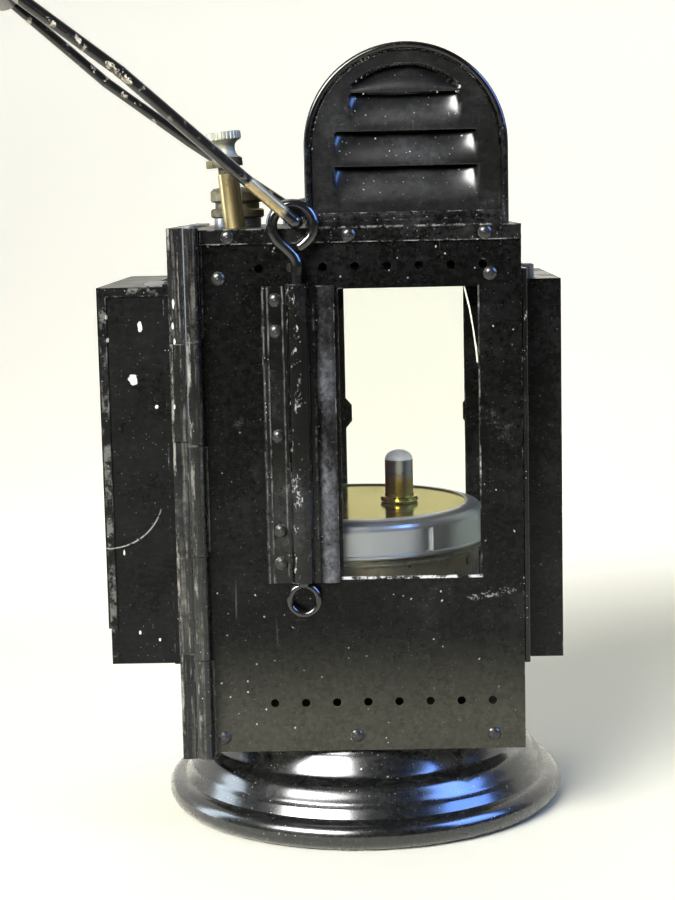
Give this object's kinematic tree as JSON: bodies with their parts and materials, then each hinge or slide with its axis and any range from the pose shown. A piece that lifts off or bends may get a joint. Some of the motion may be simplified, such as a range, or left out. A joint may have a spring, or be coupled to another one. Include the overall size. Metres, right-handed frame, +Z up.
{
  "type": "railway carbide hand lantern",
  "caption": "Square black-enamelled hand lantern on a round foot, with arched louvred hood, wire bail, hinged front with slide box, and acetylene generator and burner inside.",
  "frame": {"origin": "centre of the foot's underside, on the surface the lantern stands on", "axes": "+Z up; -Y out of the windowed side that faces the viewer; -X out of the hinged front"},
  "size_m": [0.203, 0.139, 0.2981],
  "materials": {
    "japan": "gloss black enamel with dust, chips and scratches",
    "worn_steel": "bare dulled steel",
    "worn_wire": "black enamel worn to bright metal",
    "brass": "aged satin brass",
    "nickel": "dulled nickel plate",
    "lid_bright": "bright plated top",
    "clear_glass": "clear window glass",
    "red_glass": "ruby glass",
    "frosted_glass": "frosted white glass",
    "steatite": "grey-white ceramic",
    "grip_wood": "dark turned wood"
  },
  "bodies": {
    "lantern": {"foot": "japan", "foot_plate": "worn_steel", "body_shell": "japan", "bottom_plate": "worn_steel", "roof_plate": "japan", "strap_near": "japan", "strap_far": "japan", "rivets": "japan", "hood_vault": "japan", "hood_rims": "japan", "louvre_near": "japan", "louvre_far": "japan", "hood_apron": "japan", "pane_near": "clear_glass", "pane_far": "clear_glass", "pane_tabs": "japan", "sheath_near": "japan", "sheath_far": "japan", "hinge_body": "japan", "hinge_pin": "worn_steel", "rear_box": "japan", "rear_flange": "japan", "rear_guides": "worn_steel", "rear_glass": "clear_glass", "filler_neck": "brass", "filler_washer": "nickel", "water_tank": "nickel", "valve_tube": "brass", "valve_collar": "brass", "drip_tube": "brass", "generator_pot": "brass", "generator_ring": "brass", "generator_lid": "nickel", "lid_disc": "lid_bright", "drip_cup": "brass", "carbide_cup": "worn_steel", "burner_base": "brass", "burner_body": "nickel", "burner_tip": "steatite"},
    "door": {"door_pan": "japan", "door_leaves": "japan", "front_box": "japan", "front_bezel": "japan", "front_seams": "japan", "front_guides": "worn_steel", "front_glass": "clear_glass", "door_pull": "brass"},
    "front_slide_body": {"front_slide": "worn_steel", "front_filter": "red_glass"},
    "rear_slide_body": {"rear_slide": "worn_steel", "rear_filter": "frosted_glass"},
    "eye_rods": {"rod_near": "worn_wire", "rod_far": "worn_wire"},
    "bail": {"bail_wire": "worn_wire", "grip": "grip_wood"},
    "valve": {"valve_stem": "nickel", "valve_knob": "brass"},
    "cap": {"filler_cap": "brass"}
  },
  "joints": [
    {"name": "door_swing", "type": "hinge", "parent": "lantern", "child": "door", "pos_m": [-0.0514, -0.0553, 0.1], "axis": [0, 0, 1], "range_deg": [0, 100]},
    {"name": "front_slide_lift", "type": "slide", "parent": "door", "child": "front_slide_body", "axis": [0, 0, 1], "range_m": [0, 0.06]},
    {"name": "rear_slide_lift", "type": "slide", "parent": "lantern", "child": "rear_slide_body", "axis": [0, 0, 1], "range_m": [0, 0.06]},
    {"name": "rod_slide", "type": "slide", "parent": "lantern", "child": "eye_rods", "axis": [0, 0, 1], "range_m": [-0.0025, 0]},
    {"name": "bail_swing", "type": "hinge", "parent": "eye_rods", "child": "bail", "pos_m": [-0.0179, 0, 0.2022], "axis": [0, 1, 0], "range_deg": [-20, 185]},
    {"name": "valve_turn", "type": "hinge", "parent": "lantern", "child": "valve", "pos_m": [-0.04, -0.014, 0.2005], "axis": [-0.0958, 0, 0.9954], "range_deg": [0, 270]},
    {"name": "cap_turn", "type": "hinge", "parent": "lantern", "child": "cap", "pos_m": [-0.0408, 0.012, 0.2005], "axis": [0, 0, 1], "range_deg": [0, 300]}
  ]
}
